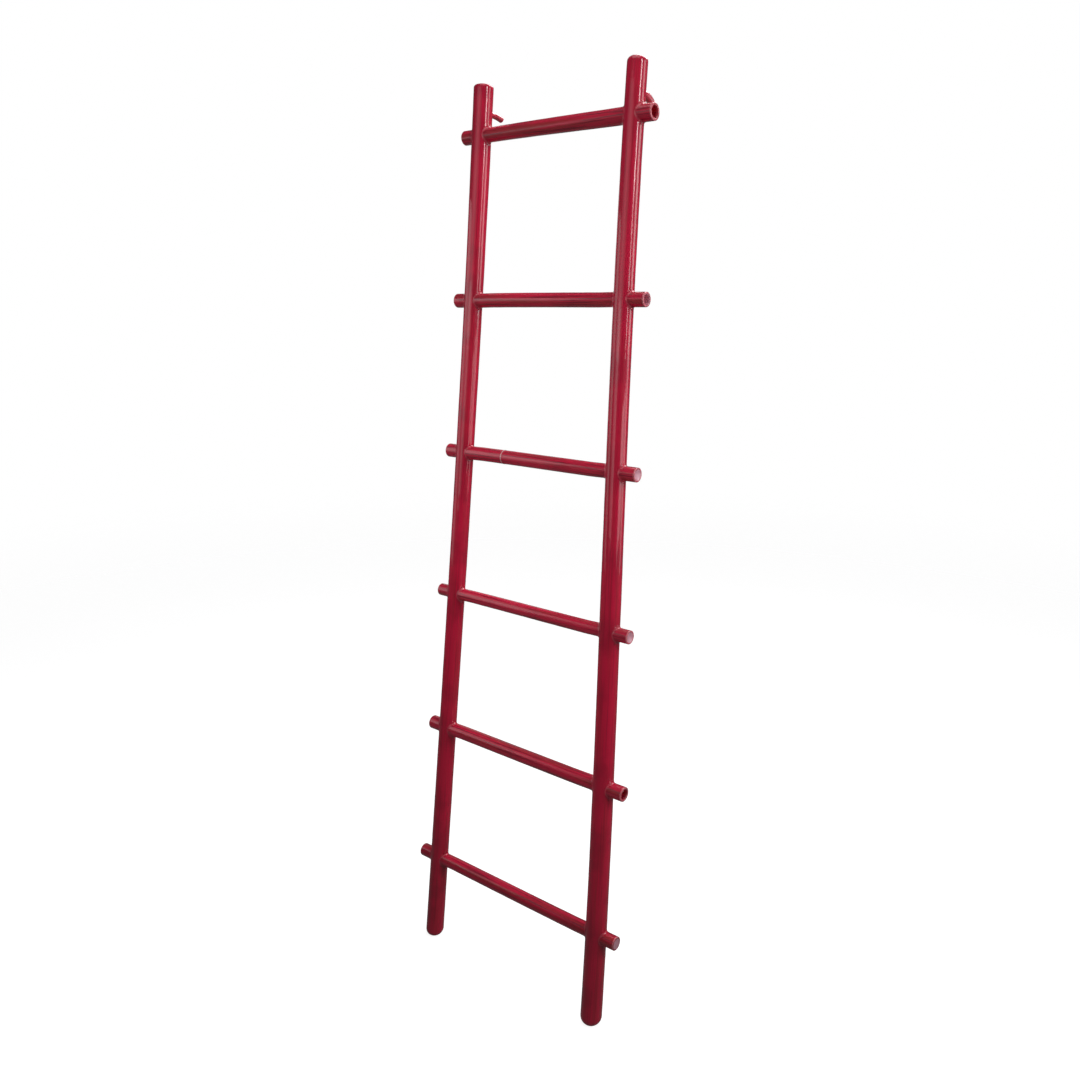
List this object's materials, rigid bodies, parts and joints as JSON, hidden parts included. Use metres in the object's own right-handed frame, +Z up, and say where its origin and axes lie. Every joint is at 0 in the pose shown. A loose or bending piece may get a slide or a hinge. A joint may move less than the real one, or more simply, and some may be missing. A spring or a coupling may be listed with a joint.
{
  "type": "leaning ladder rack",
  "caption": "Leaning ladder rack of red lacquered poles, with cane rungs that pass right through both rails and small bent pegs at the back near the top.",
  "frame": {"origin": "on the floor, midway between the two feet", "axes": "+X right along the rungs, +Y back towards the wall that the ladder leans on, +Z up"},
  "size_m": [0.5332, 0.2337, 1.8263],
  "materials": {
    "lacquered_pole": "glossy red lacquer over a natural round pole",
    "lacquered_cane": "glossy red lacquer over bamboo cane",
    "lacquered_peg": "glossy red lacquer over a bent peg",
    "brad": "steel brad, its head lacquered over"
  },
  "bodies": {
    "root": {"left_hook": "lacquered_peg", "left_rail": "lacquered_pole", "left_rail_nails": "brad", "right_hook": "lacquered_peg", "right_rail": "lacquered_pole", "right_rail_nails": "brad", "rung_1": "lacquered_cane", "rung_2": "lacquered_cane", "rung_3": "lacquered_cane", "rung_4": "lacquered_cane", "rung_5": "lacquered_cane", "rung_6": "lacquered_cane"}
  },
  "joints": []
}
